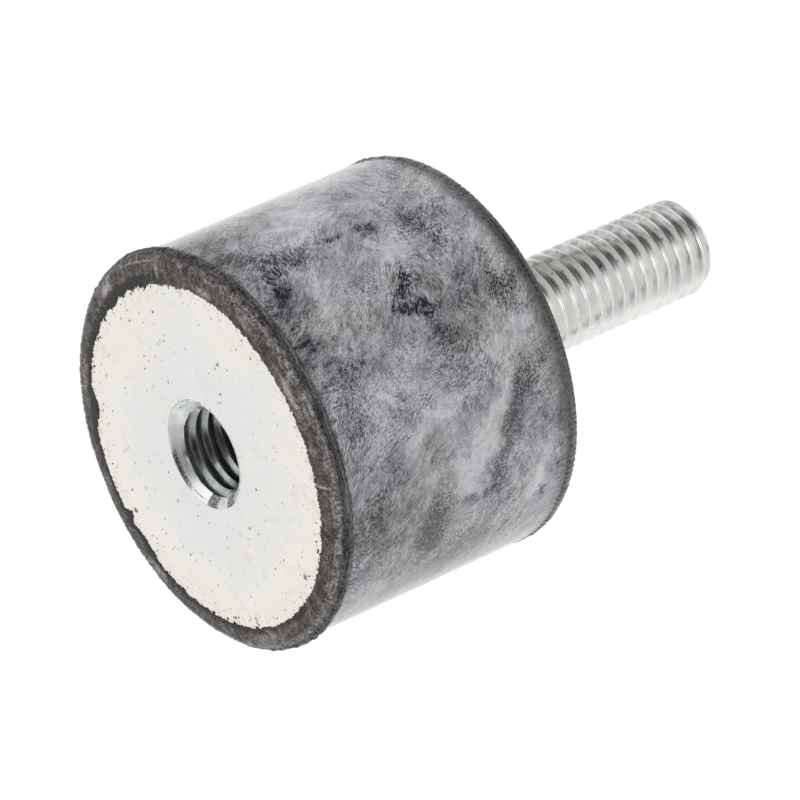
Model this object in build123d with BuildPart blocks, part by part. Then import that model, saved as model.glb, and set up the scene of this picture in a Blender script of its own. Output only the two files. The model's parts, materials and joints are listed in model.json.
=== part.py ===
from build123d import *
import math
import os

# A male and female bobbin vibration mount: a rubber cylinder moulded between two round
# steel end plates. The lower plate holds a blind threaded insert, the upper one a stud.
# The origin is the centre of the insert's end face, and +Z points at the stud's tip.
# Lengths are in millimetres and angles in degrees. The steel pieces are pressed together
# and the rubber is bonded to them, so every pair of pieces meets face to face.

# Rubber body
body_diameter = 40.0
body_height = 30.0

# Lips that the mould leaves round both ends of the rubber, each wider than the side wall
foot_rim_inset = 0.6
foot_shoulder_bulge = 0.15
foot_shoulder_height = 0.5
foot_lip_bulge = 0.4
foot_lip_height = 1.6
foot_lip_step = 0.35
head_rim_inset = 0.5
head_shoulder_inset = 0.1
head_shoulder_height = 0.35
head_lip_bulge = 0.1
head_lip_height = 1.0
head_lip_step = 0.2

# End plates, flush with the ends of the rubber
plate_diameter = 35.6
plate_thickness = 2.0
plate_edge_chamfer = 0.5

# Threaded insert, pushed through the lower plate and staked flush
spigot_diameter = 11.2
collar_diameter = 16.0
insert_length = 14.0
collar_chamfer = 0.8

# Blind hole in the insert, at its drilled size before an M10 thread is cut
thread_drill_diameter = 8.5
thread_depth = 10.0
mouth_diameter = 10.8
mouth_angle = 120.0
drill_point_angle = 118.0

# Stud, pushed through the upper plate from inside, with its head in the rubber
stud_diameter = 10.0
stud_reach = 31.0
stud_tip_chamfer = 0.9
neck_diameter = 10.8
stud_head_diameter = 18.0
stud_head_height = 3.0
stud_head_chamfer = 0.6

# Derived radii and heights
side_radius = body_diameter / 2
foot_rim_radius = side_radius - foot_rim_inset
foot_shoulder_radius = side_radius + foot_shoulder_bulge
foot_lip_radius = side_radius + foot_lip_bulge
head_rim_radius = side_radius - head_rim_inset
head_shoulder_radius = side_radius - head_shoulder_inset
head_lip_radius = side_radius + head_lip_bulge
head_lip_base = body_height - head_lip_height
plate_radius = plate_diameter / 2
spigot_radius = spigot_diameter / 2
collar_radius = collar_diameter / 2
drill_radius = thread_drill_diameter / 2
drill_point_height = drill_radius / math.tan(math.radians(drill_point_angle / 2))
stud_radius = stud_diameter / 2
neck_radius = neck_diameter / 2
stud_head_radius = stud_head_diameter / 2
stud_plate_base = body_height - plate_thickness
stud_head_base = stud_plate_base - stud_head_height
stud_tip_height = body_height + stud_reach

os.makedirs("parts", exist_ok=True)

# Half-sections on the XZ plane, all turned about Z. Each is the outside of one piece, so
# the rubber can be moulded round the same outlines that the steel pieces are made from.

# Outside of the rubber: flat rims, bevelled lips, a small step and a straight side wall
with BuildSketch(Plane.XZ) as body_outline:
    with BuildLine():
        Polyline(
            (0, 0),
            (foot_rim_radius, 0),
            (foot_shoulder_radius, foot_shoulder_height),
            (foot_lip_radius, foot_lip_height),
            (side_radius, foot_lip_height + foot_lip_step),
            (side_radius, head_lip_base - head_lip_step),
            (head_lip_radius, head_lip_base),
            (head_shoulder_radius, body_height - head_shoulder_height),
            (head_rim_radius, body_height),
            (0, body_height),
            close=True,
        )
    make_face()

# End plate without its hole, with the broken edge of a blanked disc on its buried side
with BuildSketch(Plane.XZ) as plate_outline:
    with BuildLine():
        Polyline(
            (0, 0),
            (plate_radius, 0),
            (plate_radius, plate_thickness),
            (0, plate_thickness),
            close=True,
        )
    make_face()
    buried_rim = plate_outline.vertices().group_by(Axis.Y)[-1].sort_by(Axis.X)[-1]
    chamfer(buried_rim, plate_edge_chamfer)

# Insert without its hole: a spigot as long as the plate is thick, then a wider collar
with BuildSketch(Plane.XZ) as insert_outline:
    with BuildLine():
        Polyline(
            (0, 0),
            (spigot_radius, 0),
            (spigot_radius, plate_thickness),
            (collar_radius, plate_thickness),
            (collar_radius, insert_length - collar_chamfer),
            (collar_radius - collar_chamfer, insert_length),
            (0, insert_length),
            close=True,
        )
    make_face()

# Stud: a flat head under the plate, a neck in the plate and a shank with a chamfered tip
with BuildSketch(Plane.XZ) as stud_outline:
    with BuildLine():
        Polyline(
            (0, stud_head_base),
            (stud_head_radius - stud_head_chamfer, stud_head_base),
            (stud_head_radius, stud_head_base + stud_head_chamfer),
            (stud_head_radius, stud_plate_base),
            (neck_radius, stud_plate_base),
            (neck_radius, body_height),
            (stud_radius, body_height),
            (stud_radius, stud_tip_height - stud_tip_chamfer),
            (stud_radius - stud_tip_chamfer, stud_tip_height),
            (0, stud_tip_height),
            close=True,
        )
    make_face()

# Blanks: the two plates before their holes are cut, and the insert before it is drilled
with BuildPart() as foot_disc:
    revolve(plate_outline.sketch, axis=Axis.Z)

with BuildPart() as head_disc:
    mirror(foot_disc.part, about=Plane.XY.offset(body_height / 2))

with BuildPart() as insert_blank:
    revolve(insert_outline.sketch, axis=Axis.Z)

# Stud, in one piece from its buried head to its tip
with BuildPart() as threaded_stud:
    revolve(stud_outline.sketch, axis=Axis.Z)
threaded_stud.part.label = "threaded_stud"
export_step(threaded_stud.part, "parts/threaded_stud.step")

# Plate at the stud's end, with a hole for the stud's neck
with BuildPart() as stud_plate:
    add(head_disc.part)
    Hole(radius=neck_radius)
stud_plate.part.label = "stud_plate"
export_step(stud_plate.part, "parts/stud_plate.step")

# Plate at the insert's end, with a hole for the insert's spigot
with BuildPart() as female_plate:
    add(foot_disc.part)
    Hole(radius=spigot_radius)
female_plate.part.label = "female_plate"
export_step(female_plate.part, "parts/female_plate.step")

# Insert, drilled from below with a wide countersunk mouth and a conical drill point
with BuildPart() as threaded_insert:
    add(insert_blank.part)
    with Locations(Plane(origin=(0, 0, 0), z_dir=(0, 0, -1))):
        CounterSinkHole(
            radius=drill_radius,
            counter_sink_radius=mouth_diameter / 2,
            depth=thread_depth,
            counter_sink_angle=mouth_angle,
        )
    with Locations((0, 0, thread_depth)):
        Cone(
            bottom_radius=drill_radius,
            top_radius=0,
            height=drill_point_height,
            align=(Align.CENTER, Align.CENTER, Align.MIN),
            mode=Mode.SUBTRACT,
        )
threaded_insert.part.label = "threaded_insert"
export_step(threaded_insert.part, "parts/threaded_insert.step")

# Rubber, moulded in one piece round the blanks, so its cavities are their outlines
with BuildPart() as rubber_body:
    revolve(body_outline.sketch, axis=Axis.Z)
    for inlay in (foot_disc, head_disc, insert_blank, threaded_stud):
        add(inlay.part, mode=Mode.SUBTRACT)
rubber_body.part.label = "rubber_body"
export_step(rubber_body.part, "parts/rubber_body.step")
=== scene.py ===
"""Looks of a bobbin vibration mount: bloomed rubber, cream plated end plates, bright threads.

Lengths in the tables below are in millimetres and angles in degrees; every Blender object
is in metres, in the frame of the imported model, with +Z along the mount's axis.
"""

import json
from math import cos, pi, radians, sin, sqrt, tan

import bmesh
import bpy
import numpy as np
from mathutils import Matrix, Vector


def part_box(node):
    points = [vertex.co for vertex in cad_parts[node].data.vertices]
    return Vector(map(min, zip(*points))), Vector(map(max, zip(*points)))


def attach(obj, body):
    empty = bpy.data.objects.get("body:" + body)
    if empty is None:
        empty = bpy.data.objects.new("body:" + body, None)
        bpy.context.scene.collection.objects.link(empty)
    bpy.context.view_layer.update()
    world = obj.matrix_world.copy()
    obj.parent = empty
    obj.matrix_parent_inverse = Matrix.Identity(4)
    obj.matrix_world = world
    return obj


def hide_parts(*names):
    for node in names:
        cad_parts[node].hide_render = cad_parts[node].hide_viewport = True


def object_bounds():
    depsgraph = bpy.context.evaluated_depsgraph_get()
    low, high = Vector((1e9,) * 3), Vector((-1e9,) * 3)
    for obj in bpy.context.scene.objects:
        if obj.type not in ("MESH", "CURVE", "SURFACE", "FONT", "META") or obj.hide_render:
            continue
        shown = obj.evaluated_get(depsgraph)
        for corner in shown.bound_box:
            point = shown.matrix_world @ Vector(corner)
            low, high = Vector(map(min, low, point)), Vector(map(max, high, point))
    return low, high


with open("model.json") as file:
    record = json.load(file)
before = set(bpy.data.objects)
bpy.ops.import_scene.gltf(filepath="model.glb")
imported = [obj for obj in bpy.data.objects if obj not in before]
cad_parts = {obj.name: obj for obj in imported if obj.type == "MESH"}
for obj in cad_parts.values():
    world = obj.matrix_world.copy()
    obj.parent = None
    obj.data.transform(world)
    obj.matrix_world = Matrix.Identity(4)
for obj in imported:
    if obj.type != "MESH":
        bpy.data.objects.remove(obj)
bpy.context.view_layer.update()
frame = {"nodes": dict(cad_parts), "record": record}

MM = 0.001

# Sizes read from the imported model
BODY_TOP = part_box("rubber_body")[1].z / MM
STUD_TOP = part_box("threaded_stud")[1].z / MM
STUD_HEAD_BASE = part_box("threaded_stud")[0].z / MM
STUD_HEAD_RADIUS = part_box("threaded_stud")[1].x / MM
PLATE_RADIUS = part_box("female_plate")[1].x / MM
PLATE_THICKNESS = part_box("female_plate")[1].z / MM
INSERT_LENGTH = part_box("threaded_insert")[1].z / MM
COLLAR_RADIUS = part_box("threaded_insert")[1].x / MM
MOUNTS = {mount["name"]: mount for mount in frame["record"]["mounts"]}
STUD_RADIUS = MOUNTS["stud"]["dims"]["r_mm"]
DRILL_RADIUS = MOUNTS["female_thread"]["dims"]["r_mm"]

# Sizes of the parts of a piece that its box doesn't show, as in the model
SIDE_RADIUS = 20.0
SPIGOT_RADIUS = 5.6
NECK_RADIUS = 5.4
EDGE_CHAMFER = 0.5
COLLAR_CHAMFER = 0.8
HEAD_CHAMFER = 0.6
MOUTH_RADIUS = 5.4
MOUTH_ANGLE = 100.0
THREAD_DEPTH = 10.0
DRILL_POINT_ANGLE = 118.0

# Half-sections of the insert's collar and the stud's head, which the rubber fits closely
COLLAR_ROWS = [
    (COLLAR_RADIUS, PLATE_THICKNESS),
    (COLLAR_RADIUS, INSERT_LENGTH - COLLAR_CHAMFER),
    (COLLAR_RADIUS - COLLAR_CHAMFER, INSERT_LENGTH),
    (0, INSERT_LENGTH),
]
STUD_HEAD_ROWS = [
    (0, STUD_HEAD_BASE),
    (STUD_HEAD_RADIUS - HEAD_CHAMFER, STUD_HEAD_BASE),
    (STUD_HEAD_RADIUS, STUD_HEAD_BASE + HEAD_CHAMFER),
    (STUD_HEAD_RADIUS, BODY_TOP - PLATE_THICKNESS),
]

# Coarse metric thread of 10 mm
PITCH = 1.5
THREAD_HEIGHT = PITCH * sqrt(3) / 2
CREST_RADIUS = STUD_RADIUS - 0.05
ROOT_RADIUS = STUD_RADIUS - 0.7 * THREAD_HEIGHT
TIP_RADIUS = STUD_RADIUS - 0.95

# Camera: where it stands from the middle of the mount, and how the axis lies in its picture
AIM = (2.8, -0.36, 22.54)
CAMERA_DISTANCE = 726.6
CAMERA_ELEVATION = -32.69
CAMERA_AZIMUTH = -0.26
CAMERA_ROLL = 66.10
LENS = 337.5

# Where the threads start, as shares of a turn
BORE_PHASE = 0.8
STUD_PHASE = 0.3

# Round the insert's mouth: the azimuths of a small notch and a painted highlight, a scarred
# place counted from -X towards +Y to be clear of the azimuth's seam, and a dark line in the cone
NOTCH_AZIMUTH = 100.0
HIGHLIGHT_AZIMUTH = 136.0
SCAR_TURN = 100.27
MOUTH_LINE_RADIUS = 5.23

# The side of the stud where its grooves get painted shade, in degrees
GROOVE_SHADE_AZIMUTH = -88.0

# On the rubber: the mould's parting line on the foot's lip, and a painted highlight line on the
# rims
PARTING_HEIGHT = 1.38
RIM_HIGHLIGHT_RADIUS = 19.52

# The torn film on the plates: its mean inner edge, how far it is off-centre, its thickness
FILM_RADIUS = 17.56
FILM_SHIFT = 0.16
FILM_THICKNESS = 0.06

# The lips: the arcs of their half-sections as (centre, radius across, radius up, start, end,
# points), and the radius where the film's slope meets each
FOOT_CORNER = ((18.9, 0.7), 1.09, 0.68, -90, 0, 9)
FOOT_BEAD = ((19.98, 1.3), 0.42, 0.62, -75, 85, 10)
FOOT_RIM_RADIUS = 18.8
HEAD_CORNER = ((19.4, BODY_TOP - 0.52), 0.55, 0.5, 10, 90, 6)
HEAD_BEAD = ((19.93, BODY_TOP - 0.9), 0.13, 0.36, -80, 80, 8)
HEAD_RIM_RADIUS = 19.3

# Half the floor's width, in metres
FLOOR_HALF = 0.8

RUBBER_SEGMENTS = 1440
THREAD_SEGMENTS = 144
ROWS_PER_PITCH = 18


# ---- meshes


def ripple(angles, seed, slowest, fastest, falloff=0.0):
    """A wave that closes round the circle, of unit strength, from whole numbers of cycles."""
    random = np.random.RandomState(seed)
    cycles = np.arange(slowest, fastest + 1)
    phases = random.uniform(0, 2 * pi, len(cycles))
    sizes = random.uniform(0.4, 1.0, len(cycles)) * cycles ** (-falloff)
    wave = (sizes[:, None] * np.cos(cycles[:, None] * angles[None, :] + phases[:, None])).sum(0)
    return wave / wave.std()


def arc(centre, radius_across, radius_up, start, end, steps):
    """Points of an elliptical arc in a half-section, as (radius, height) pairs."""
    turns = np.radians(np.linspace(start, end, steps))
    return [
        (centre[0] + radius_across * cos(t), centre[1] + radius_up * sin(t))
        for t in turns
    ]


def make_mesh(name, points, faces):
    """A mesh from points in millimetres, with doubled points merged and normals outward."""
    mesh = bpy.data.meshes.new(name)
    mesh.from_pydata((np.asarray(points) * MM).tolist(), [], faces)
    bm = bmesh.new()
    bm.from_mesh(mesh)
    bmesh.ops.remove_doubles(bm, verts=bm.verts, dist=0.001 * MM)
    bmesh.ops.dissolve_degenerate(bm, dist=0.0005 * MM, edges=bm.edges)
    bmesh.ops.recalc_face_normals(bm, faces=bm.faces)
    bm.to_mesh(mesh)
    bm.free()
    return mesh


def add_object(name, data):
    """Links a mesh, a light or a camera to the scene."""
    thing = bpy.data.objects.new(name, data)
    bpy.context.scene.collection.objects.link(thing)
    return thing


def add_piece(name, points, faces, material, sharp=35.0):
    """Links a mesh as a piece of the object, which rides on its one body."""
    mesh = make_mesh(name, points, faces)
    mesh.shade_smooth()
    mesh.set_sharp_from_angle(angle=radians(sharp))
    piece = add_object(name, mesh)
    mesh.materials.append(material)
    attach(piece, "root")
    return piece


def ring_faces(rings, segments):
    """Faces that join rings of points, each to the next."""
    faces = []
    for low in range(0, (rings - 1) * segments, segments):
        high = low + segments
        for i in range(segments):
            j = (i + 1) % segments
            faces.append((low + i, low + j, high + j, high + i))
    return faces


def lathe(rows, segments):
    """Points and faces of a turned solid. A row is (radius, height), each a number or an
    array with one value per segment, and the first and last rows are points on the axis."""
    angles = np.linspace(0, 2 * pi, segments, endpoint=False)
    points = []
    for radius, height in rows[1:-1]:
        radius = np.broadcast_to(radius, angles.shape)
        height = np.broadcast_to(height, angles.shape)
        ring = np.stack([radius * np.cos(angles), radius * np.sin(angles), height], axis=1)
        points.append(ring)
    points = np.concatenate(points)
    rings = len(rows) - 2
    first, last = len(points), len(points) + 1
    points = np.vstack([points, (0, 0, rows[0][1]), (0, 0, rows[-1][1])])
    faces = ring_faces(rings, segments)
    top = (rings - 1) * segments
    for i in range(segments):
        j = (i + 1) % segments
        faces.append((first, j, i))
        faces.append((last, top + i, top + j))
    return points, faces


def thread_wave(phase):
    """Share of the thread's depth at a phase from 0 to 1 along one pitch, with a narrow flat
    crest at 0 and a rounded root at 0.5."""
    from_crest = np.abs((phase + 0.5) % 1.0 - 0.5)
    flank = np.clip((from_crest - 0.045) / 0.385, 0, 1)
    return 1 - (flank - 0.06 * np.sin(pi * flank) * flank)


def threaded_wall(radius_at, low, high, phase_turns):
    """Points and faces of a threaded wall from one height to another. radius_at(height, wave)
    gives the radius. Rows follow the helix, so crests stay sharp, and end flat."""
    per_pitch, segments = ROWS_PER_PITCH, THREAD_SEGMENTS
    starts = np.arange(low - PITCH, high + PITCH / per_pitch, PITCH / per_pitch)
    turn = np.arange(segments) / segments
    heights = np.clip(starts[:, None] + PITCH * turn[None, :], low, high)
    wave = thread_wave(starts[:, None] / PITCH + phase_turns + 0 * turn[None, :])
    radii = radius_at(heights, wave)
    angles = 2 * pi * turn[None, :]
    points = np.stack([radii * np.cos(angles), radii * np.sin(angles), heights], axis=2)
    points = points.reshape(-1, 3)
    rows = len(starts)
    faces = []
    for row in range(rows - 1):
        for i in range(segments - 1):
            a = row * segments + i
            faces.append((a, a + 1, a + 1 + segments, a + segments))
    seam = segments - 1
    for row in range(rows - 1):
        a = row * segments + seam
        b = min(row + per_pitch, rows - 1) * segments
        c = min(row + 1 + per_pitch, rows - 1) * segments
        faces.append((a, b, c, a + segments))
    return points, faces


def join_walls(*walls):
    """Puts several (points, faces) walls together; doubled edge points merge later."""
    points, faces, offset = [], [], 0
    for wall_points, wall_faces in walls:
        points.append(wall_points)
        faces.extend(tuple(offset + v for v in face) for face in wall_faces)
        offset += len(wall_points)
    return np.concatenate(points), faces


def open_lathe(rows):
    """Like lathe, for what joins a thread: open at the end that isn't on the axis."""
    open_first = rows[0][0] != 0
    rows = [(0, rows[0][1]), *rows] if open_first else [*rows, (0, rows[-1][1])]
    points, faces = lathe(rows, THREAD_SEGMENTS)
    fans = faces[-2 * THREAD_SEGMENTS:]
    return points, faces[:-2 * THREAD_SEGMENTS] + fans[open_first::2]


# ---- node helpers


class Nodes:
    """Short ways to add shader nodes to one tree. Most return an output socket."""

    def __init__(self, tree, shader="Principled BSDF"):
        self.tree = tree
        self.shader = tree.nodes[shader]

    def surface(self, name, value):
        """Sets or links an input of the tree's shader."""
        self.put(self.shader.inputs[name], value)

    def add(self, kind, *values, **settings):
        """A new node with these settings, and these values at its first inputs."""
        node = self.tree.nodes.new(kind)
        for key, value in settings.items():
            setattr(node, key, value)
        for socket, value in zip(node.inputs, values):
            self.put(socket, value)
        return node

    def put(self, socket, value):
        if isinstance(value, bpy.types.NodeSocket):
            self.tree.links.new(value, socket)
        else:
            socket.default_value = value

    def math(self, operation, *values, clamp=False):
        node = self.add("ShaderNodeMath", *values, operation=operation, use_clamp=clamp)
        return node.outputs[0]

    def plus(self, a, b):
        return self.math("ADD", a, b)

    def minus(self, a, b):
        return self.math("SUBTRACT", a, b)

    def times(self, a, b):
        return self.math("MULTIPLY", a, b)

    def times_plus(self, a, b, c, clamp=False):
        return self.math("MULTIPLY_ADD", a, b, c, clamp=clamp)

    def highest(self, a, b):
        return self.math("MAXIMUM", a, b)

    def apart(self, a, b):
        """How far two values are from each other."""
        return self.math("ABSOLUTE", self.minus(a, b))

    def vector(self, operation, *values):
        node = self.add("ShaderNodeVectorMath", *values, operation=operation)
        return node.outputs["Value" if operation in ("LENGTH", "DOT_PRODUCT") else "Vector"]

    def scaled(self, value, scale):
        node = self.add("ShaderNodeVectorMath", value, operation="SCALE")
        self.put(node.inputs["Scale"], scale)
        return node.outputs[0]

    def smooth(self, value, low, high, to_low=0.0, to_high=1.0):
        values = (value, low, high, to_low, to_high)
        node = self.add("ShaderNodeMapRange", *values, interpolation_type="SMOOTHSTEP")
        return node.outputs[0]

    def noise(self, where, scale, detail=2.0, roughness=0.5, distortion=0.0):
        node = self.add("ShaderNodeTexNoise")
        names = ("Vector", "Scale", "Detail", "Roughness", "Distortion")
        for name, value in zip(names, (where, scale, detail, roughness, distortion)):
            self.put(node.inputs[name], value)
        return node.outputs["Fac"]

    def wave(self, noise):
        """A noise with its middle at zero."""
        return self.minus(noise, 0.5)

    def add_wave(self, noise, share, base):
        """The base raised and lowered by a share of a noise."""
        return self.times_plus(self.wave(noise), share, base)

    def noise_vector(self, where, scale):
        """Three unlike noises at once, as a vector about (0.5, 0.5, 0.5)."""
        node = self.noise(where, scale).node
        apart = self.add("ShaderNodeSeparateColor", node.outputs["Color"])
        return self.add("ShaderNodeCombineXYZ", *apart.outputs).outputs[0]

    def ramp(self, value, stops, highest):
        """Colours at values from 0 to the highest, joined by straight lines."""
        node = self.add("ShaderNodeValToRGB")
        self.put(node.inputs[0], self.math("DIVIDE", value, highest))
        elements = node.color_ramp.elements
        while len(elements) < len(stops):
            elements.new(0.5)
        for element, (position, colour) in zip(elements, stops):
            element.position = position / highest
            element.color = colour
        return node.outputs[0]

    def mix(self, factor, a, b, blend="MIX"):
        node = self.add("ShaderNodeMix", data_type="RGBA", blend_type=blend)
        self.put(node.inputs["Factor"], factor)
        self.put(node.inputs["A"], a)
        self.put(node.inputs["B"], b)
        return node.outputs["Result"]

    def millimetres(self):
        """The point being shaded, in millimetres in the object's own frame."""
        place = self.add("ShaderNodeTexCoord").outputs["Object"]
        return self.scaled(place, 1 / MM)

    def parts(self, value):
        return self.add("ShaderNodeSeparateXYZ", value).outputs

    def stretch(self, value, x, y, z):
        return self.vector("MULTIPLY", value, (x, y, z))

    def radius(self, place):
        """Distance from the mount's axis."""
        return self.vector("LENGTH", self.stretch(place, 1, 1, 0))

    def azimuth(self, place):
        """Azimuth in radians, counted as in the tables of places below."""
        x, y = self.parts(place)[0:2]
        return self.math("ARCTAN2", x, self.times(y, -1.0))

    def twist(self, value, degrees_per_mm):
        """Turns each level about Z by its height, so that patterns lean round the wall."""
        height = self.parts(value)[2]
        node = self.add("ShaderNodeVectorRotate", value, rotation_type="Z_AXIS")
        self.put(node.inputs["Angle"], self.times(height, radians(degrees_per_mm)))
        return node.outputs[0]

    def bump(self, height, distance, strength):
        node = self.add("ShaderNodeBump")
        self.put(node.inputs["Strength"], strength)
        self.put(node.inputs["Distance"], distance * MM)
        self.put(node.inputs["Height"], height)
        return node.outputs[0]


def new_material(name):
    """A material with one Principled shader, and its node helper."""
    material = bpy.data.materials.new(name)
    material.use_nodes = True
    return material, Nodes(material.node_tree)


def srgb(red, green, blue):
    """A colour as seen on screen, from 0 to 255, as the linear colour that a shader takes."""
    def linear(value):
        share = value / 255
        return share / 12.92 if share <= 0.04045 else ((share + 0.055) / 1.055) ** 2.4
    return (linear(red), linear(green), linear(blue), 1.0)


# ---- materials

# Places on the rubber's side are listed as ellipses on the wall:
# (azimuth, height, half length, half width, lean, strength). Azimuth 0 faces -Y and grows
# towards +X, and the lean turns the long way from round the wall towards the head.

# Clumps where the bloom is rubbed thin and the dark rubber shows
DARK_PLACES = [
    (-22, 16.4, 2.6, 1, -28, 0.6),
    (-13.5, 15.8, 2.4, 1.2, 75, 0.6),
    (-8, 26.2, 2.8, 2.2, 20, 0.2),
    (-36, 22.4, 4.2, 2.4, 10, 0.3),
    (-60, 19, 1.8, 2, 0, 0.26),
    (-42, 17.2, 1.5, 1.2, 60, 0.38),
    (-45, 13.2, 2.2, 0.6, 85, 0.32),
    (-44, 8.4, 3.8, 1.8, 60, 0.42),
    (-50, 4.6, 3, 1.8, 20, 0.3),
    (-37, 5.2, 3.4, 1.4, -10, 0.34),
    (16, 24.6, 3, 1.8, -25, 0.14),
    (29, 21.6, 3.6, 1.4, -30, 0.16),
    (38, 19.8, 2.4, 1.3, 5, 0.16),
    (50, 12.6, 5.2, 2.2, -10, 0.2),
    (30, 7, 5.4, 3.2, 10, 0.16),
    (48, 6.6, 3.6, 3, 0, 0.16),
    (-63, 6, 1.8, 3.2, 0, 0.16),
    (62, 21.8, 1, 0.5, -10, 0.5),
    (60, 24.2, 0.7, 0.4, 20, 0.45),
    (55, 25.8, 0.9, 0.4, 0, 0.4),
    (27, 14.2, 1.2, 1.6, 0, 0.2),
    (96, 9, 5.5, 2, 30, 0.2),
    (106, 21, 2.4, 5, 0, 0.22),
    (124, 15.6, 3, 1.1, -30, 0.56),
    (131, 13.2, 2, 1, 60, 0.5),
    (150, 5, 5.2, 1.6, 15, 0.3),
    (158, 25.4, 6, 1.2, 12, 0.28),
    (172, 12, 1.6, 4.8, 0, 0.24),
    (-88, 6.4, 3.2, 2, 0, 0.22),
    (-96, 22, 5.4, 1.5, 40, 0.3),
    (-115, 10, 2, 1.1, -20, 0.52),
    (-121, 12.4, 2.4, 0.9, 70, 0.46),
    (-140, 24.4, 5.6, 1.4, -16, 0.26),
    (-158, 5.4, 4.2, 1.4, 30, 0.3),
]

# Smears where the bloom is thin but even
DULL_PLACES = [
    (2, 17.8, 4, 3.2, -40, 0.2),
    (-3, 6.4, 2.6, 2, -20, 0.24),
    (8, 5, 3.4, 2, 0, 0.2),
    (16, 24.6, 3.4, 2, -25, 0.18),
    (30, 21.4, 4.4, 1.5, -28, 0.2),
    (45, 18.6, 3.6, 0.6, 86, 0.26),
    (46, 11.6, 6, 3.4, -10, 0.14),
    (62, 14, 5, 12, 0, 0.12),
    (40, 5, 6, 2.4, 0, 0.14),
    (-8, 22, 5, 1.6, 0, 0.12),
    (120, 20, 5, 3, 20, 0.2),
    (-104, 8, 5, 3, -30, 0.2),
    (-160, 15, 5, 3, 40, 0.2),
]

# Smears where the bloom is thick
PALE_PLACES = [
    (-64, 14.6, 5, 3, 0, 0.16),
    (-58, 16, 5, 12, 0, 0.14),
    (26, 14, 3.4, 9, 0, 0.09),
    (-31, 18, 2.4, 1.6, -40, 0.22),
    (-25, 27, 2.2, 1.4, 0, 0.2),
    (44, 25, 4.6, 1.8, -15, 0.22),
    (17, 22, 3.4, 1, -38, 0.22),
    (26, 18.4, 3.6, 2.2, -35, 0.08),
    (17, 12.4, 4.6, 1.1, -65, 0.24),
    (36, 15.6, 3, 1.6, 15, 0.18),
    (66, 6, 3, 3, 0, 0.18),
    (-26, 9.6, 4.6, 3, -40, 0.1),
    (6, 22.8, 2.4, 1.4, 0, 0.16),
    (70, 16, 3.6, 5, 0, 0.06),
    (-78, 22, 3, 5, 0, 0.14),
    (112, 26, 5, 2, 10, 0.2),
    (136, 10, 4.6, 2, -50, 0.22),
    (164, 20, 5, 2, -20, 0.2),
    (-106, 17, 4.6, 2, -40, 0.22),
    (-128, 17, 4, 2.4, 30, 0.2),
    (-168, 23, 4.4, 2.4, 10, 0.22),
    (-172, 6, 4.6, 2, -20, 0.2),
]

# Crisp scrapes that left the bloom pale
SCRAPE_PLACES = [
    (15.5, 13.8, 2.7, 0.55, 68, 1),
    (7.5, 9.4, 2.6, 0.6, 48, 1),
    (-2, 7.6, 1.5, 0.45, -40, 0.9),
    (27, 13.4, 1.2, 0.4, 80, 0.9),
    (1.5, 25.8, 2.6, 1, 86, 1),
    (24, 19.9, 6, 1.3, -25, 1),
    (30, 17.6, 3.6, 1.3, -12, 1),
    (-36, 16.6, 1.8, 0.8, 40, 0.9),
    (45, 25.4, 3.4, 0.7, -14, 0.9),
    (-13, 8, 2.6, 0.4, -12, 0.8),
    (-56, 11, 3, 0.6, 60, 0.8),
    (96, 16, 3, 0.7, 60, 0.9),
    (118, 19, 3.4, 0.8, 40, 1),
    (138, 12.5, 3, 0.7, -50, 1),
    (166, 22, 4, 0.9, -15, 1),
    (-100, 14, 3.4, 0.7, 60, 1),
    (-132, 9, 3.8, 0.8, 20, 1),
    (-165, 18, 3.2, 0.7, -60, 1),
]

# Rows of short strokes along the axis, near the foot
STROKE_PLACES = [
    (-14, 3.4, 4.6, 2.2, 0, 1),
    (4, 3.2, 4, 1.8, 0, 1),
    (112, 4, 5, 2.4, 0, 1),
    (-120, 4, 5, 2.4, 0, 1),
]

# Dark stains along the head's edge
HEAD_STAINS = [
    (-18, 29.3, 6, 1.2, 0, 0.55),
    (4, 29.6, 9, 0.8, 0, 0.55),
    (-46, 29.7, 7, 0.6, 0, 0.4),
    (32, 29.7, 7, 0.6, 0, 0.45),
    (110, 29.6, 9, 0.8, 0, 0.4),
    (-130, 29.6, 9, 0.8, 0, 0.4),
    (164, 29.7, 7, 0.6, 0, 0.4),
]

# Where the rubber is browner
BROWN_PLACES = [
    (54, 12, 8, 5, -10, 1),
    (44, 6, 6, 4, 0, 0.6),
    (76, 15, 10, 15, 0, 0.6),
    (-82, 14, 7, 15, 0, 0.5),
    (0, 29, 30, 3, 0, 0.3),
    (140, 12, 8, 6, 0, 0.7),
    (-130, 12, 8, 6, 0, 0.7),
]

# Pale smears on the foot's rim: (azimuth, radius, half length, half width, strength)
RIM_SMEARS = [
    (-104, 18.8, 1.6, 0.7, 0.55),
    (-51, 18.1, 1.6, 0.6, 0.6),
    (-32, 18.9, 1.2, 0.8, 0.35),
    (-6, 18.4, 3, 0.8, 0.55),
    (23, 18.6, 0.22, 1.2, 0.75),
    (-73, 18.4, 0.25, 1.1, 0.55),
    (12, 18.6, 0.5, 0.9, 0.3),
    (98, 18.9, 4, 0.8, 0.25),
    (152, 18.6, 3, 0.7, 0.3),
    (-140, 18.6, 3, 0.7, 0.25),
]

# Dark spots on the foot's rim, listed in the same way
RIM_STAINS = [
    (39, 18.4, 0.2, 0.45, 0.8),
    (76, 17.9, 1.8, 0.5, 0.6),
    (-84, 17.8, 2.6, 0.5, 0.5),
    (-20, 18.6, 1.2, 0.8, 0.3),
    (58, 18.6, 2, 0.6, 0.3),
]


def on_wall(azimuth, height, radius=SIDE_RADIUS):
    """The point at an azimuth and a height on a wall round the axis, in millimetres."""
    turn = radians(azimuth)
    return (radius * sin(turn), -radius * cos(turn), height)


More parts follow.
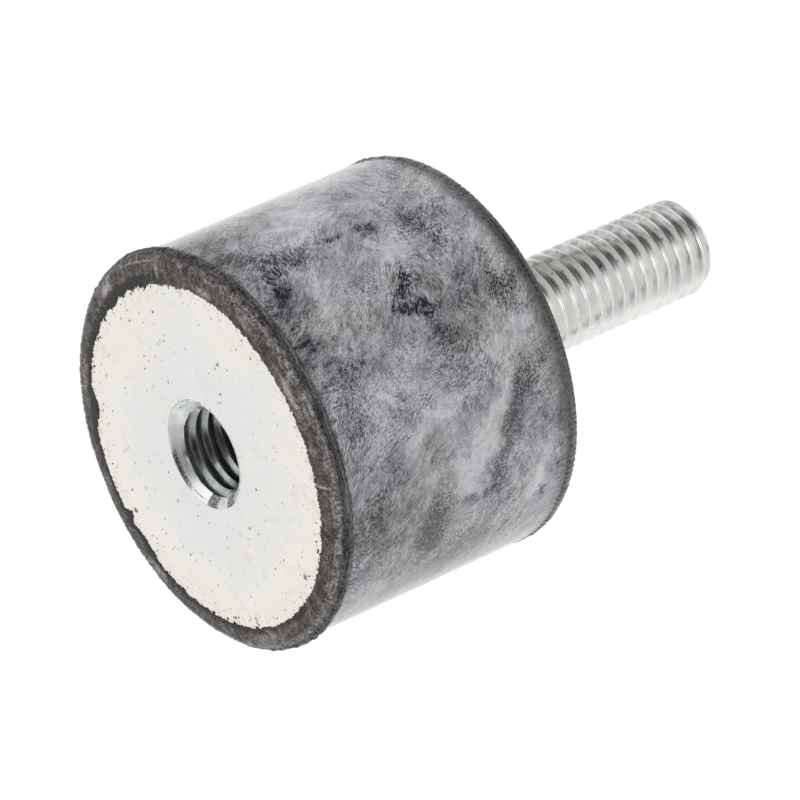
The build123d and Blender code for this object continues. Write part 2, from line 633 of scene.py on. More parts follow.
def near_ellipse(n, where, centre, turns, half_sizes, strength):
    """A field that is high in an ellipsoid and fades to nothing just outside it."""
    sizes = [1.2 * size for size in half_sizes]
    node = n.add("ShaderNodeMapping", where, centre, turns, sizes, vector_type="TEXTURE")
    ball = n.add("ShaderNodeTexGradient", node.outputs[0], gradient_type="SPHERICAL")
    return n.smooth(ball.outputs["Fac"], 0.0, 0.83, 0.0, strength)


def wall_places(n, where, places):
    """The sum of the fields of the ellipses listed for the side wall."""
    total = 0.0
    for azimuth, height, half_length, half_width, lean, strength in places:
        centre = on_wall(azimuth, height)
        turns = (0, -radians(lean), radians(azimuth))
        sizes = (half_length, 4.0, half_width)
        total = n.plus(near_ellipse(n, where, centre, turns, sizes, 1.4 * strength), total)
    return total


def rim_places(n, where, places):
    """The sum of the fields of the ellipses listed for the foot's rim."""
    total = 0.0
    for azimuth, radius, half_length, half_width, strength in places:
        centre = on_wall(azimuth, 0.0, radius)
        turns = (0, 0, radians(azimuth))
        sizes = (half_length, half_width, 1.5)
        total = n.plus(near_ellipse(n, where, centre, turns, sizes, strength), total)
    return total


def wobbled(n, where, scale, reach):
    """The coordinates, moved about by a noise so that what they carry has ragged outlines."""
    shift = n.vector("SUBTRACT", n.noise_vector(where, scale), (0.5, 0.5, 0.5))
    return n.vector("ADD", where, n.scaled(shift, reach))


def speck_field(n, where, cell, size, chance):
    """Small round specks: one per cell of that width at most, in a share of the cells."""
    cells = n.add("ShaderNodeTexVoronoi", where, feature="F1")
    n.put(cells.inputs["Scale"], 1 / cell)
    pick = n.parts(cells.outputs["Color"])
    wanted = n.math("LESS_THAN", pick[0], chance)
    reach = n.times_plus(pick[1], size / cell * 0.7, size / cell * 0.3)
    dot = n.smooth(n.math("DIVIDE", cells.outputs["Distance"], reach), 1.1, 0.6)
    return n.times(dot, wanted)


def bloom_cover(n, place):
    """How much of the rubber's side the bloom covers, from 0 to 1, and how gritty it is."""
    moved = wobbled(n, wobbled(n, place, 0.45, 3.4), 1.8, 1.5)
    dark = wall_places(n, moved, DARK_PLACES)
    smeared = wobbled(n, wobbled(n, place, 0.7, 2.4), 2.4, 0.5)
    pale = wall_places(n, smeared, PALE_PLACES)
    dull = wall_places(n, smeared, DULL_PLACES)
    scraped = wall_places(n, wobbled(n, place, 0.9, 0.9), SCRAPE_PLACES)
    scraped = n.add_wave(n.noise(place, 3.0, 3.0, 0.7), 1.2, scraped)
    scraped = n.smooth(scraped, 0.45, 0.75, 0.0, 0.22)
    flow = wobbled(n, n.twist(place, 2.0), 0.09, 9.0)
    bent = wobbled(n, place, 0.12, 7.0)

    clouds = n.noise(place, 0.13, 3.0, 0.5, 0.6)
    mottle = n.noise(flow, 0.5, 5.0, 0.6, 0.5)
    patches = n.noise(bent, 0.3, 7.0, 0.62)
    along = n.noise(n.stretch(flow, 1.3, 1.3, 0.34), 1.0, 5.0, 0.6)
    around = n.noise(n.stretch(bent, 0.42, 0.42, 1.6), 1.0, 5.0, 0.6)
    turned = n.smooth(n.noise(place, 0.17, 2.0, 0.5), 0.44, 0.56)
    swept = n.times_plus(n.minus(around, along), turned, along)
    brushed = n.smooth(swept, 0.475, 0.525, -0.5, 0.5)
    patched = n.smooth(patches, 0.485, 0.525, -0.5, 0.5)
    strokes = n.noise(n.stretch(place, 3.4, 3.4, 0.4), 1.0, 1.0, 0.4)
    stroked = wall_places(n, wobbled(n, place, 0.8, 1.2), STROKE_PLACES)

    cover = n.add_wave(clouds, 0.95, 0.78)
    cover = n.add_wave(mottle, 0.85, cover)
    cover = n.times_plus(brushed, 0.17, cover)
    cover = n.times_plus(patched, 0.14, cover)
    cover = n.times_plus(n.times(stroked, n.wave(strokes)), 0.6, cover)
    cover = n.plus(n.minus(cover, n.plus(dark, dull)), pale)
    cover = n.math("SMOOTH_MAX", n.plus(cover, scraped), 0.15, 0.2)
    grit = n.smooth(n.noise(place, 0.15, 2.0, 0.5), 0.42, 0.62, 0.0, 0.8)
    grit = n.times_plus(n.minus(dull, pale), 1.6, grit)
    grit = n.times_plus(scraped, -2.0, grit)
    grit = n.times_plus(dark, 1.3, grit, clamp=True)
    return cover, grit


def side_colour(n, place, cover, grit):
    """Colour of the rubber's side from its bloom, its fine grain and its tints."""
    flow = wobbled(n, n.twist(place, 2.0), 0.09, 9.0)
    grain = n.noise(n.stretch(flow, 5.2, 5.2, 4.9), 1.0, 2.0, 0.78)
    grain = n.smooth(grain, 0.38, 0.62, 0.26, 0.74)
    scratches = n.noise(n.stretch(flow, 4.2, 4.2, 1.5), 1.0, 3.0, 0.7)
    grained = n.times_plus(n.wave(grain), n.times_plus(grit, 0.95, 0.68), cover)
    grained = n.times_plus(n.wave(scratches), n.times_plus(grit, 0.5, 0.85), grained)
    colour = n.ramp(grained, [
        (0.00, srgb(30, 28, 33)),
        (0.2, srgb(62, 60, 65)),
        (0.42, srgb(100, 99, 103)),
        (0.66, srgb(137, 137, 140)),
        (0.95, srgb(164, 164, 167)),
        (1.2, srgb(188, 188, 190)),
        (1.6, srgb(202, 202, 204)),
    ], 1.6)
    brown = wall_places(n, place, BROWN_PLACES)
    bluish = n.smooth(n.noise(place, 0.11, 2.0, 0.5), 0.42, 0.6)
    colour = n.mix(n.times(bluish, 0.35), colour, (0.93, 0.96, 1.1, 1), "MULTIPLY")
    colour = n.mix(n.times(brown, 0.7), colour, (0.96, 0.88, 0.82, 1), "MULTIPLY")
    pits = speck_field(n, wobbled(n, place, 1.5, 0.4), 1.6, 0.26, 0.22)
    glints = speck_field(n, n.vector("ADD", place, (3.1, 1.7, 0.4)), 1.8, 0.16, 0.12)
    seen = n.times_plus(grit, 0.5, 0.5, clamp=True)
    colour = n.mix(n.times(n.times(pits, 0.85), seen), colour, srgb(36, 34, 38))
    return n.mix(n.times(n.times(glints, 0.8), seen), colour, srgb(214, 214, 216))


def rim_colour(n, place):
    """Colour of the rims: brown-grey rubber with pale smears and dark stains, and a painted
    highlight on their outer corner.
    """
    smears = n.noise(n.stretch(place, 0.6, 0.6, 1.0), 1.2, 4.0, 0.68, 1.2)
    grain = n.noise(place, 6.0, 2.0, 0.7)
    moved = wobbled(n, place, 2.0, 0.7)
    radius = n.radius(place)
    behind = n.smooth(n.parts(place)[1], -7.0, 5.0, 0.12, 0.62)
    fringe = n.times(n.smooth(n.add_wave(smears, 1.2, radius), 18.5, 17.6), behind)
    # Painted highlight: the rims' outer corner is lighter, fading out towards -X
    highlight_side = n.smooth(n.parts(place)[0], -19.0, -6.0, 0.0, 0.24)
    corner = n.times(n.smooth(radius, 19.3, 19.8), highlight_side)
    crust = n.smooth(n.noise(place, 2.6, 4.0, 0.7), 0.42, 0.58, -0.5, 0.5)
    value = n.add_wave(smears, 1.6, n.plus(0.38, corner))
    value = n.add_wave(grain, 1.3, value)
    value = n.times_plus(crust, 0.22, value)
    value = n.minus(value, fringe)
    value = n.plus(value, rim_places(n, moved, RIM_SMEARS))
    value = n.minus(value, rim_places(n, moved, RIM_STAINS))
    return n.ramp(value, [
        (0.00, srgb(22, 19, 17)),
        (0.3, srgb(68, 62, 58)),
        (0.6, srgb(108, 103, 100)),
        (1.00, srgb(178, 175, 175)),
    ], 1.0)


def lip_colour(n, place, height):
    """Colour of the lips: very dark rubber with a pale parting line and a few smears."""
    grain = n.noise(n.stretch(place, 1, 1, 2.0), 3.2, 3.0, 0.7)
    lines = n.noise(n.stretch(place, 0.35, 0.35, 4.0), 1.2, 3.0, 0.65)
    patches = n.noise(place, 0.35, 3.0, 0.6)
    wander = n.wave(n.noise(place, 0.5, 2.0, 0.5))
    level = n.times_plus(wander, 0.5, height)
    from_parting = n.apart(level, PARTING_HEIGHT)
    parting = n.smooth(from_parting, 0.13, 0.03, 0.0, 0.28)
    value = n.add_wave(grain, 1.4, 0.27)
    value = n.add_wave(lines, 1.7, value)
    value = n.add_wave(patches, 0.6, value)
    value = n.plus(value, parting)
    return n.ramp(value, [
        (0.00, srgb(14, 12, 13)),
        (0.3, srgb(62, 60, 61)),
        (0.7, srgb(106, 104, 105)),
        (1.00, srgb(150, 148, 150)),
    ], 1.0)


def rubber_material():
    """Dark rubber under a pale cloudy bloom on its side, rubbed darker on its rims."""
    material, n = new_material("rubber")
    place = n.millimetres()
    height = n.parts(place)[2]
    radius = n.radius(place)
    ragged = n.add_wave(n.noise(place, 1.6, 4.0, 0.7), 0.9, height)

    # The bloom thins out towards the head and just above the foot's lip
    thin_top = n.smooth(ragged, BODY_TOP - 3.4, BODY_TOP - 0.9, 0.0, 0.22)
    thin_foot = n.smooth(ragged, 7.5, 2.0, 0.0, 0.28)
    cover, grit = bloom_cover(n, place)
    cover = n.minus(cover, n.plus(thin_top, thin_foot))
    colour = side_colour(n, place, cover, grit)
    bared = n.smooth(n.noise(place, 2.4, 3.0, 0.7), 0.35, 0.65)
    bared = n.mix(bared, srgb(58, 56, 57), srgb(98, 95, 94))
    colour = n.mix(n.smooth(ragged, BODY_TOP - 3.0, BODY_TOP - 1.0, 0.0, 0.9), colour, bared)
    stained = wall_places(n, wobbled(n, place, 1.6, 0.8), HEAD_STAINS)
    colour = n.mix(n.math("MINIMUM", stained, 0.85), colour, srgb(36, 33, 35))

    # The foot's lip, and a thin pale line of painted highlight where it meets the side
    on_lip = n.times(n.smooth(ragged, 2.06, 1.9), n.smooth(ragged, 0.55, 0.8))
    colour = n.mix(on_lip, colour, lip_colour(n, place, height))
    on_corner = n.smooth(ragged, 0.8, 0.6)
    on_rim = n.smooth(radius, SIDE_RADIUS - 0.3, SIDE_RADIUS - 0.5)
    rim = rim_colour(n, place)
    # Painted highlight: a thin pale line round the rims near their outer edge, broken up by a
    # noise
    edge = n.apart(radius, RIM_HIGHLIGHT_RADIUS)
    broken = n.smooth(n.noise(place, 0.7, 3.0, 0.6), 0.46, 0.62, 0.0, 0.5)
    painted_edge_highlight = n.times(n.smooth(edge, 0.14, 0.04), broken)
    rim = n.mix(painted_edge_highlight, rim, srgb(176, 173, 174))
    colour = n.mix(n.highest(on_corner, on_rim), colour, rim)
    n.surface("Base Color", colour)

    n.surface("Roughness", n.smooth(cover, 0.0, 1.0, 0.36, 0.42))
    n.surface("Specular IOR Level", 0.22)
    off_side = n.highest(n.highest(on_corner, on_rim), on_lip)
    n.surface("Coat Weight", n.smooth(off_side, 0.0, 1.0, 1.0, 0.15))
    n.surface("Coat IOR", 1.3)
    n.surface("Coat Roughness", 0.12)
    relief = n.noise(place, 4.2, 3.0, 0.65)
    relief = n.times_plus(n.noise(place, 1.1, 3.0, 0.6), 1.5, relief)
    n.surface("Normal", n.bump(relief, 0.06, 0.6))
    return material


def plate_material():
    """Cream plated steel, bluish in the middle, with dark specks and pits."""
    material, n = new_material("plate_steel")
    place = n.millimetres()
    radius = n.radius(place)
    blotches = n.noise(place, 0.16, 3.0, 0.55, 0.4)
    towards_edge = n.smooth(radius, 5.0, PLATE_RADIUS + 1.0)
    warm = n.add_wave(blotches, 1.6, towards_edge)
    warm = n.add_wave(n.noise(place, 0.09, 2.0, 0.5), 1.6, warm)
    colour = n.mix(n.smooth(warm, 0.0, 1.0), srgb(242, 242, 241), srgb(251, 248, 240))
    wisps = n.noise(place, 0.5, 5.0, 0.7, 1.0)
    colour = n.mix(n.smooth(wisps, 0.52, 0.8, 0.0, 0.5), colour, srgb(222, 219, 212))

    moved = wobbled(n, place, 2.6, 0.55)
    fine = speck_field(n, moved, 1.0, 0.17, 0.42)
    large = speck_field(n, n.vector("ADD", moved, (5, 3, 0)), 2.4, 0.38, 0.26)
    crowd = n.smooth(n.noise(place, 0.2, 2.0, 0.5), 0.42, 0.58)
    edge_crowd = n.smooth(radius, PLATE_RADIUS - 3.6, PLATE_RADIUS - 0.6)
    crowd = n.highest(crowd, edge_crowd)
    dust = n.times(speck_field(n, moved, 0.5, 0.15, 0.36), crowd)
    specks = n.highest(n.highest(fine, large), dust)
    colour = n.mix(n.times(specks, 0.85), colour, srgb(92, 88, 80))
    stain = n.smooth(n.noise(place, 1.1, 5.0, 0.75, 1.0), 0.52, 0.7)
    near_film = n.smooth(radius, PLATE_RADIUS - 3.2, PLATE_RADIUS - 0.4)
    stain = n.times(n.times(stain, near_film), 0.7)
    colour = n.mix(stain, colour, srgb(196, 186, 168))
    n.surface("Base Color", colour)
    n.surface("Metallic", 0.6)
    n.surface("Roughness", n.smooth(blotches, 0.3, 0.7, 0.4, 0.52))
    relief = n.times_plus(specks, -1.0, n.noise(place, 0.8, 3.0, 0.5))
    n.surface("Normal", n.bump(relief, 0.03, 0.5))
    return material


def zinc_finish(n, place, colour, roughness):
    """Turning lines, a few specks and a bright metal shine on a colour."""
    specks = speck_field(n, place, 1.3, 0.2, 0.34)
    colour = n.mix(n.times(specks, 0.8), colour, srgb(60, 60, 56))
    n.surface("Base Color", colour)
    n.surface("Metallic", 1.0)
    lines = n.noise(n.stretch(place, 0.25, 0.25, 5.0), 3.0, 3.0, 0.6)
    uneven = n.smooth(lines, 0.3, 0.7, 0.8, 1.3)
    n.surface("Roughness", n.times(uneven, roughness))
    relief = n.times_plus(lines, 0.6, n.noise(place, 3.0, 3.0, 0.6))
    n.surface("Normal", n.bump(relief, 0.012, 0.5))


def stud_material():
    """Bright zinc on the rolled thread, faintly tinted, with painted shade in the grooves on one
    side.
    """
    material, n = new_material("stud_zinc")
    place = n.millimetres()
    tint = n.noise(place, 0.35, 3.0, 0.55, 0.5)
    warm = n.noise(place, 0.8, 2.0, 0.5)
    colour = n.mix(n.smooth(tint, 0.35, 0.65), srgb(226, 229, 228), srgb(240, 239, 235))
    colour = n.mix(n.smooth(warm, 0.55, 0.75, 0.0, 0.3), colour, srgb(240, 230, 226))
    # Painted shade: patches of the grooves darken on one side of the stud
    away = n.apart(n.azimuth(place), radians(GROOVE_SHADE_AZIMUTH))
    one_side = n.smooth(away, radians(75), radians(25), 0.1, 1.0)
    radius = n.radius(place)
    grooves = n.smooth(radius, STUD_RADIUS - 0.06, STUD_RADIUS - 0.3, 0.25, 1.0)
    groove_shade = n.smooth(n.noise(place, 0.8, 5.0, 0.68), 0.32, 0.62, 0.3, 0.8)
    groove_shade = n.times(groove_shade, grooves)
    colour = n.mix(n.times(groove_shade, one_side), colour, srgb(136, 137, 136))
    zinc_finish(n, place, colour, 0.19)
    return material


def insert_material():
    """Bright zinc at the mouth, and darker steel in the cut thread behind it, as painted shade
    that is darkest at the roots.
    """
    material, n = new_material("insert_zinc")
    place = n.millimetres()
    height = n.parts(place)[2]
    radius = n.radius(place)
    tint = n.noise(place, 0.7, 3.0, 0.6, 0.5)
    bright = n.mix(n.smooth(tint, 0.35, 0.65), srgb(206, 211, 209), srgb(232, 234, 231))
    # Painted shade: the thread inside the bore is coloured darker than the mouth
    bore_shade_colour = n.mix(n.smooth(tint, 0.35, 0.65), srgb(158, 163, 161), srgb(196, 200, 198))
    ragged = n.add_wave(n.noise(place, 1.5, 3.0, 0.6), 1.4, height)
    inside = n.times(n.smooth(ragged, 0.5, 1.5), n.smooth(radius, 5.3, 5.1))
    # Painted shade: the thread's roots inside the bore are darker still
    root = n.smooth(radius, DRILL_RADIUS + 0.45, STUD_RADIUS, 0.0, 0.5)
    colour = n.mix(inside, bright, bore_shade_colour)
    colour = n.mix(n.times(root, inside), colour, srgb(112, 110, 104))
    nicks = n.smooth(n.noise(place, 2.2, 4.0, 0.75), 0.54, 0.62)
    edge = n.apart(radius, SPIGOT_RADIUS - 0.05)
    nicks = n.times(nicks, n.smooth(edge, 0.22, 0.08))
    nicks = n.highest(nicks, mouth_scars(n, place))
    colour = n.mix(n.times(nicks, 0.8), colour, srgb(48, 46, 42))
    colour, wedge = notch_colours(n, place, colour)
    matt = n.highest(n.smooth(inside, 0.0, 1.0, 0.4, 0.2), n.times(wedge, 0.9))
    zinc_finish(n, place, colour, matt)
    return material


def notch_colours(n, place, colour):
    """The mouth's notch, with a scuffed grey facet to each side and a bright floor, and a
    painted highlight on the mouth.
    """
    height = n.parts(place)[2]
    turn = n.add_wave(n.noise(place, 2.2, 3.0, 0.7), 0.22, n.azimuth(place))
    away = n.apart(turn, radians(NOTCH_AZIMUTH))
    radius = n.radius(place)
    mouth = n.times(n.smooth(height, 1.1, 0.8), n.smooth(radius, 4.3, 4.5))
    facets = n.times(n.smooth(away, radians(28), radians(24), 0.0, 0.95), mouth)
    wedge = n.times(n.smooth(away, radians(10), radians(7)), mouth)
    dull = n.smooth(n.noise(place, 3.4, 4.0, 0.75), 0.4, 0.6)
    dull = n.mix(dull, srgb(60, 64, 62), srgb(168, 172, 168))
    # Painted highlight: a patch of the mouth painted near white round one azimuth
    shine = n.smooth(n.apart(turn, radians(HIGHLIGHT_AZIMUTH)), 0.45, 0.2)
    colour = n.mix(n.times(shine, mouth), colour, srgb(252, 253, 254))
    broken = n.smooth(n.noise(place, 2.0, 3.0, 0.7), 0.42, 0.52)
    inner = n.smooth(n.apart(radius, MOUTH_LINE_RADIUS), 0.07, 0.03, 0.0, 0.7)
    inner = n.times(n.times(inner, broken), n.smooth(shine, 0.0, 0.3))
    colour = n.mix(inner, colour, srgb(70, 74, 74))
    return n.mix(wedge, n.mix(facets, colour, dull), srgb(252, 252, 250)), wedge


def mouth_scars(n, place):
    """Torn metal round the part of the mouth's edge that the plating didn't fill."""
    x, y = n.parts(place)[0:2]
    turn = n.math("ARCTAN2", y, n.times(x, -1.0))
    turn = n.add_wave(n.noise(place, 1.6, 3.0, 0.7), 0.5, turn)
    near = n.smooth(n.apart(turn, radians(SCAR_TURN)), 0.55, 0.38)
    radius = n.add_wave(n.noise(place, 2.6, 4.0, 0.75), 0.5, n.radius(place))
    bits = n.smooth(n.noise(place, 5.0, 3.0, 0.7), 0.36, 0.46)
    return n.times(n.times(n.smooth(radius, 5.06, 5.2), near), bits)


def floor_material():
    """A plain pale floor, which shows only from above."""
    material, n = new_material("floor")
    n.surface("Base Color", (0.86, 0.86, 0.86, 1))
    n.surface("Roughness", 0.9)
    n.surface("Specular IOR Level", 0.1)
    clear = n.add("ShaderNodeBsdfTransparent").outputs[0]
    below = n.add("ShaderNodeNewGeometry").outputs["Backfacing"]
    choose = n.add("ShaderNodeMixShader", below, n.shader.outputs[0], clear)
    output = material.node_tree.nodes["Material Output"]
    n.put(output.inputs["Surface"], choose.outputs[0])
    return material


# ---- pieces

# Clusters of crumbs on the foot's plate: (azimuth, spread in degrees, count, reach inward)
CRUMB_PLACES = [
    (-128, 10, 22, 0.45), (-104, 5, 24, 0.5), (-82, 6, 34, 0.4), (-66, 5, 24, 0.3),
    (-50, 5, 10, 0.25), (-20, 12, 8, 0.25), (20, 8, 6, 0.2), (52, 6, 16, 0.3), (80, 8, 10, 0.3),
    (108, 8, 16, 0.45), (140, 10, 14, 0.3), (165, 6, 12, 0.45), (-165, 8, 12, 0.4),
]

# Tongues of the torn film on the foot's plate: (azimuth, half width in degrees, reach)
FOOT_TONGUES = [
    (-151, 8, 0.85), (160, 6, 0.45), (172, 3, 0.8), (166, 6, 0.3), (-104, 3, 0.2),
    (74, 7, 0.15), (-95, 40, 0.22), (180, 52, -0.16), (-40, 24, -0.1),
]


def swell(azimuths, centre, half_width):
    """A smooth hump of unit height round an azimuth, in degrees."""
    away = np.abs((azimuths - centre + 180) % 360 - 180) / half_width
    return np.clip(1 - away ** 2, 0, 1) ** 1.5


def film_edge(angles, seed, tongues=()):
    """Radius where the torn rubber film ends on a plate, round the circle. The tongues are
    (azimuth, half width, reach) places where it runs further in."""
    azimuths = np.degrees(angles) + 90
    slow = ripple(angles, seed, 2, 9, 0.5)
    torn = ripple(angles, seed + 1, 18, 70, 0.2)
    frayed = ripple(angles, seed + 2, 70, 260, 0.1)
    thready = ripple(angles, seed + 3, 260, 520)
    edge = FILM_RADIUS + FILM_SHIFT * np.cos(angles) + 0.04 * slow + 0.055 * torn
    edge = edge + 0.05 * frayed + 0.035 * thready
    edge = edge - 0.12 * np.clip(ripple(angles, seed + 4, 40, 160) - 1.3, 0, 2)
    for centre, half_width, reach in tongues:
        edge = edge - reach * swell(azimuths, centre, half_width)
    return np.minimum(edge, PLATE_RADIUS - 0.02)


def film_rows(angles, edge, rim_radius, plate, rise, seed):
    """Rows of the torn film from its edge, at the height of the plate, out to the lip. The
    rise is its thickness, and is negative where it lies under the plate."""
    rows = [(edge, plate), (edge + 0.01, plate + rise * 0.7), (edge + 0.12, plate + rise)]
    for share in (0.25, 0.5, 0.75):
        wave = ripple(angles, seed + int(4 * share), 10, 160, 0.2)
        radius = edge * (1 - share) + rim_radius * share
        rows.append((radius, plate + rise * (1 - share) + 0.016 * wave))
    return rows


def rubber_rows():
    """The rubber's half-section: from the insert's end on the axis, round the outside, to
    the stud's head on the axis."""
    angles = np.linspace(0, 2 * pi, RUBBER_SEGMENTS, endpoint=False)
    foot_edge = film_edge(angles, 11, FOOT_TONGUES)
    head_edge = film_edge(angles, 41)
    rows = [
        *reversed(COLLAR_ROWS),
        (PLATE_RADIUS - EDGE_CHAMFER, PLATE_THICKNESS),
        (PLATE_RADIUS, PLATE_THICKNESS - EDGE_CHAMFER),
        (PLATE_RADIUS, 0.0),
    ]

    # Foot: torn film on the plate, a slightly uneven rim, and a bead at the corner
    bead_wave = ripple(angles, 5, 3, 40, 0.6) * 0.03 + ripple(angles, 6, 60, 280) * 0.036
    rim_wave = ripple(angles, 7, 8, 60, 0.2) * 0.015 + ripple(angles, 9, 80, 300) * 0.012
    rows += film_rows(angles, foot_edge, FOOT_RIM_RADIUS, 0.0, -FILM_THICKNESS, 8)
    rows += [(r + bead_wave * 0.8, z + rim_wave) for r, z in arc(*FOOT_CORNER)]
    rows += [(r + bead_wave, z) for r, z in arc(*FOOT_BEAD)]

    # Side wall from bead to bead, very slightly uneven
    for height in np.linspace(2.3, BODY_TOP - 1.6, 10):
        sway = ripple(angles, 100 + int(height * 10), 2, 9) * 0.012
        rows.append((SIDE_RADIUS + sway, height))

    # Head: the same in mirror, with a lower and more toothed bead
    tooth = ripple(angles, 21, 110, 300) * 0.036 + ripple(angles, 22, 4, 40, 0.5) * 0.015
    rows += [(r + tooth, z) for r, z in arc(*HEAD_BEAD)]
    rows += [(r + tooth * 0.5, z) for r, z in arc(*HEAD_CORNER)]
    rows += reversed(film_rows(angles, head_edge, HEAD_RIM_RADIUS, BODY_TOP, FILM_THICKNESS, 30))
    rows += [
        (PLATE_RADIUS, BODY_TOP),
        (PLATE_RADIUS, BODY_TOP - PLATE_THICKNESS + EDGE_CHAMFER),
        (PLATE_RADIUS - EDGE_CHAMFER, BODY_TOP - PLATE_THICKNESS),
        *reversed(STUD_HEAD_ROWS),
    ]
    return rows


def make_rubber(material):
    """The moulded rubber, with its torn film, rims, lips and hidden pockets."""
    points, faces = lathe(rubber_rows(), RUBBER_SEGMENTS)
    piece = add_piece("rubber_skin", points, faces, material, sharp=50.0)
    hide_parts("rubber_body")


def crumb(random, centre, size, aspect):
    """Points and faces of one flattened, uneven crumb that stands on the plate."""
    corners = 8
    tilt = random.uniform(0, pi)
    points = []
    outline = random.uniform(0.6, 1.25, corners)
    for width, depth in ((1.0, 0.01), (0.85, -0.35), (0.4, -0.5)):
        for k in range(corners):
            turn = 2 * pi * k / corners
            across = width * size * outline[k] * cos(turn) * aspect
            along = width * size * outline[k] * sin(turn)
            x = across * cos(tilt) - along * sin(tilt)
            y = across * sin(tilt) + along * cos(tilt)
            points.append(np.array(centre) + (x, y, depth * size))
    ends = [tuple(range(corners)), tuple(range(2 * corners, 3 * corners))]
    return points, ends + ring_faces(3, corners)


def make_crumbs(material):
    """Crumbs of rubber that stick to the foot's plate beside the torn film."""
    random = np.random.RandomState(77)
    points, faces = [], []
    for azimuth, spread, count, reach in CRUMB_PLACES:
        for _ in range(count):
            towards = azimuth + random.normal(0, spread)
            edge = FILM_RADIUS - 0.06 + FILM_SHIFT * sin(radians(towards))
            radius = edge - random.exponential(reach)
            size = min(0.03 + random.exponential(0.045), 0.16)
            aspect = random.uniform(0.35, 1.0)
            new_points, new_faces = crumb(random, on_wall(towards, 0.0, radius), size, aspect)
            faces.extend(tuple(len(points) + v for v in face) for face in new_faces)
            points.extend(new_points)
    add_piece("flash_crumbs", points, faces, material)


def make_stud(material):
    """The stud: a buried head, a neck in the plate and a rolled thread up to its tip."""
    low, high = BODY_TOP, STUD_TOP

    def radius_at(height, wave):
        thread = ROOT_RADIUS + (CREST_RADIUS - ROOT_RADIUS) * wave
        thread = np.minimum(thread, TIP_RADIUS + (high - height))
        return np.minimum(thread, ROOT_RADIUS - 0.02 + 3.0 * (height - low))

    foot = open_lathe([
        *STUD_HEAD_ROWS,
        (NECK_RADIUS, BODY_TOP - PLATE_THICKNESS),
        (NECK_RADIUS, BODY_TOP - 0.04),
        (NECK_RADIUS - 0.04, BODY_TOP),
        (ROOT_RADIUS - 0.02, BODY_TOP),
    ])
    wall = threaded_wall(radius_at, low, high, STUD_PHASE)
    tip_edge = float(radius_at(np.array(high), np.array(1.0)))
    tip = open_lathe([(tip_edge, high), (tip_edge * 0.5, high - 0.03), (0, high - 0.05)])
    points, faces = join_walls(foot, wall, tip)
    piece = add_piece("stud_rolled", points, faces, material, sharp=40.0)
    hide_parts("threaded_stud")


def cut_notch(points, half_width, depth, radius):
    """Pushes the wall of a bore outward in a short slot just inside its mouth."""
    turns = np.degrees(np.arctan2(points[:, 0], -points[:, 1]))
    away = np.abs((turns - NOTCH_AZIMUTH + 180) % 360 - 180)
    reach = np.hypot(points[:, 0], points[:, 1])
    inside = (away < half_width) & (points[:, 2] > 0.01) & (points[:, 2] < depth)
    points[:, :2] *= np.where(inside, radius / reach, 1.0)[:, None]


def make_insert(material):
    """The insert: a spigot and a collar outside, and a cut thread with a wide mouth inside."""
    slope = 1 / tan(radians(MOUTH_ANGLE / 2))
    major = STUD_RADIUS + 0.02
    drill_point = DRILL_RADIUS / tan(radians(DRILL_POINT_ANGLE / 2))

    def radius_at(height, wave):
        thread = DRILL_RADIUS + (major - DRILL_RADIUS) * (1 - wave)
        thread = np.minimum(thread, DRILL_RADIUS + (THREAD_DEPTH - height))
        return np.maximum(thread, MOUTH_RADIUS - height / slope)

    bore = threaded_wall(radius_at, 0.0, THREAD_DEPTH, BORE_PHASE)
    cut_notch(bore[0], half_width=5.0, depth=0.7, radius=MOUTH_RADIUS - 0.03)
    bottom = open_lathe([(DRILL_RADIUS, THREAD_DEPTH), (0, THREAD_DEPTH + drill_point)])
    outside = open_lathe([
        (MOUTH_RADIUS, 0.0),
        (SPIGOT_RADIUS - 0.06, 0.0),
        (SPIGOT_RADIUS, 0.06),
        (SPIGOT_RADIUS, PLATE_THICKNESS),
        *COLLAR_ROWS,
    ])
    points, faces = join_walls(bore, bottom, outside)
    piece = add_piece("insert_tapped", points, faces, material, sharp=40.0)
    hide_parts("threaded_insert")


# ---- stage, lights and camera


def camera_axes():
    """The camera's right, up and back directions in the row frame."""
    turn, rise = radians(CAMERA_AZIMUTH), radians(CAMERA_ELEVATION)
    level = cos(rise)
    back = Vector((sin(turn) * level, -cos(turn) * level, sin(rise)))
    level_right = Vector((0, 0, 1)).cross(back).normalized()
    level_up = back.cross(level_right)
    roll = radians(CAMERA_ROLL)
    right = level_right * cos(roll) + level_up * sin(roll)
    return right, back.cross(right), back


def along_camera(right, up, back):
    """The vector with these parts along the camera's axes."""
    axes = camera_axes()
    return axes[0] * right + axes[1] * up + axes[2] * back


def add_camera():
    """A long lens at the viewing angle of the photograph."""
    right, up, back = camera_axes()
    data = bpy.data.cameras.new("camera")
    data.sensor_width = 36
    data.lens = LENS
    data.clip_start, data.clip_end = 0.05, 20
    camera = add_object("camera", data)
    turned = Matrix((right, up, back)).transposed().to_4x4()
    place = (Vector(AIM) + back * CAMERA_DISTANCE) * MM
    camera.matrix_world = Matrix.Translation(place) @ turned
    bpy.context.scene.camera = camera


def add_soft_light(name, right, up, back, size, watts, mirrored=True):
    """An area light placed by its distances from the mount along the camera's axes, in metres.
    One that isn't mirrored lights the rubber without showing in the metal."""
    away = along_camera(right, up, back)
    data = bpy.data.lights.new(name, "AREA")
    data.shape = "DISK"
    data.size = size
    data.energy = watts
    light = add_object(name, data)
    light.location = Vector(AIM) * MM + away
    light.visible_glossy = mirrored
    light.visible_camera = False
    light.rotation_euler = away.to_track_quat("Z", "Y").to_euler()


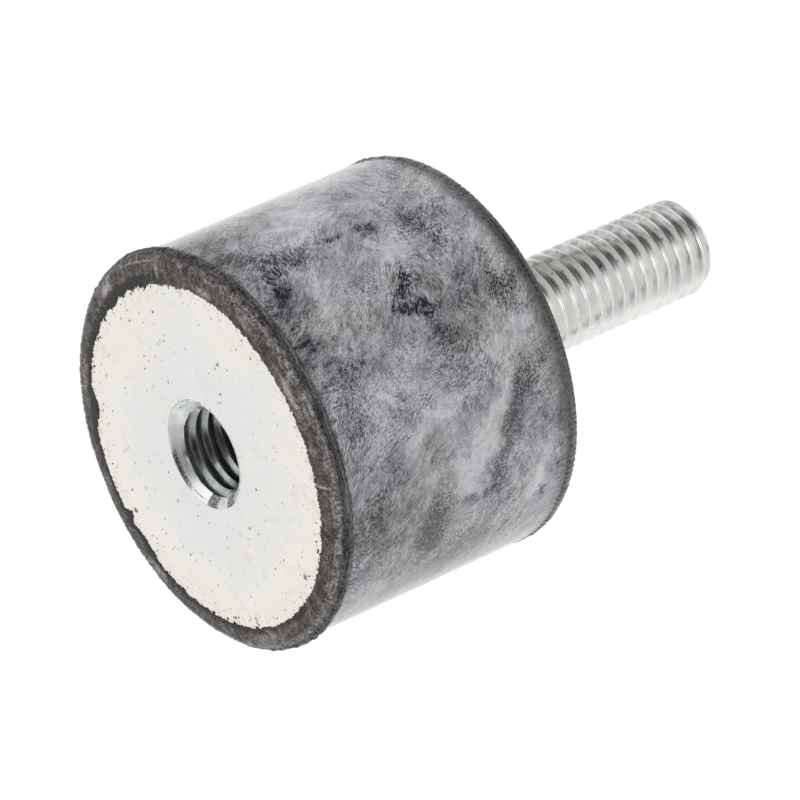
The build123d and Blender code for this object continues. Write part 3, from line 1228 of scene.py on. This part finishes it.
def add_floor():
    """A pale floor under the mount. It neither casts light on it nor hides it from below."""
    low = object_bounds()[0].z
    mesh = bpy.data.meshes.new("floor")
    corners = [(-1, -1), (1, -1), (1, 1), (-1, 1)]
    points = [(x * FLOOR_HALF, y * FLOOR_HALF, low) for x, y in corners]
    mesh.from_pydata(points, [], [(0, 1, 2, 3)])
    mesh.materials.append(floor_material())
    floor = add_object("floor", mesh)
    floor.visible_diffuse = False
    floor.visible_glossy = False
    floor.visible_shadow = False


# Soft places in the white tent that the metal mirrors, by their directions along the
# camera's axes: (right, up, back, inner angle, outer angle, how much darker)
TENT_SHADES = [
    (0.42, 0.84, 0.22, 25, 42, 0.97),
    (-0.05, 0.86, -0.5, 12, 38, 0.5),
    (-0.6, -0.32, 0.74, 17, 34, 0.96),
    (-0.6, -0.65, 0.45, 12, 42, 0.4),
]


def light_world():
    """A white tent that is plain white to the camera, with soft darker places that give the
    bright metal its contrast."""
    world = bpy.data.worlds.new("studio")
    bpy.context.scene.world = world
    world.use_nodes = True
    n = Nodes(world.node_tree, "Background")
    direction = n.add("ShaderNodeTexCoord").outputs["Generated"]
    tent = 1.0
    for right, up, back, inner, outer, depth in TENT_SHADES:
        middle = along_camera(right, up, back).normalized()
        towards = n.vector("DOT_PRODUCT", direction, tuple(middle))
        far, near = cos(radians(outer)), cos(radians(inner))
        tent = n.times(n.smooth(towards, far, near, 1.0, 1.0 - depth), tent)
    strength = n.highest(tent, n.add("ShaderNodeLightPath").outputs["Is Camera Ray"])
    n.surface("Color", (1, 1, 1, 1))
    n.surface("Strength", strength)


def dress_plates(material):
    """Gives both CAD end plates their plated finish."""
    for name in ("female_plate", "stud_plate"):
        mesh = frame["nodes"][name].data
        mesh.materials.clear()
        mesh.materials.append(material)


bpy.context.scene.view_settings.view_transform = "Standard"
add_camera()
light_world()
add_soft_light("key", right=0.88, up=0.2, back=0.4, size=0.45, watts=0.35)
add_soft_light("fill", right=-0.2, up=0.9, back=0.28, size=0.6, watts=3.6, mirrored=False)

rubber = rubber_material()
make_rubber(rubber)
make_crumbs(rubber)
dress_plates(plate_material())
make_stud(stud_material())
make_insert(insert_material())
add_floor()
